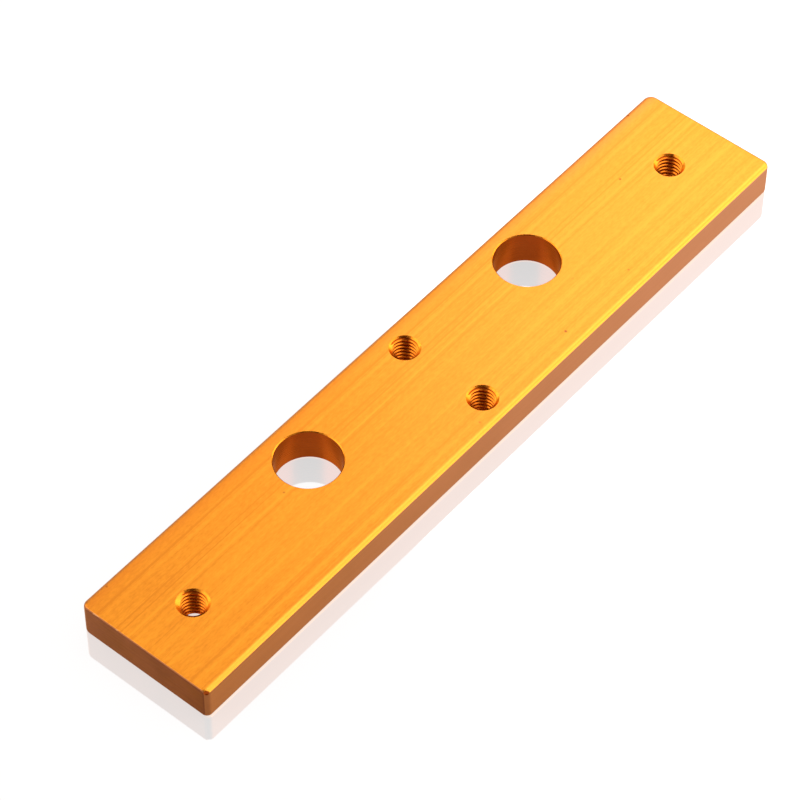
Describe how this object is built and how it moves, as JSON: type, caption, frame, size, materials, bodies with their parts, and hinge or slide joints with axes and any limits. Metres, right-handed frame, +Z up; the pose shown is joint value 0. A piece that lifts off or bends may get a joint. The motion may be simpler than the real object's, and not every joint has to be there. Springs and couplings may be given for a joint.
{
  "type": "machined mounting block",
  "caption": "Flat gold-anodised aluminium mounting bar with plain through bores set off its centre line and tapped through holes at its ends and across its middle.",
  "frame": {"origin": "centre of the underside", "axes": "+X along the bar, +Y across it towards the long edge that the plain bores lie nearer, +Z up out of the top face"},
  "size_m": [0.088, 0.016, 0.004],
  "materials": {
    "gold_anodised": "gold anodised over brush lines that run along the bar"
  },
  "bodies": {
    "root": {"mounting_block": "gold_anodised"}
  },
  "joints": []
}
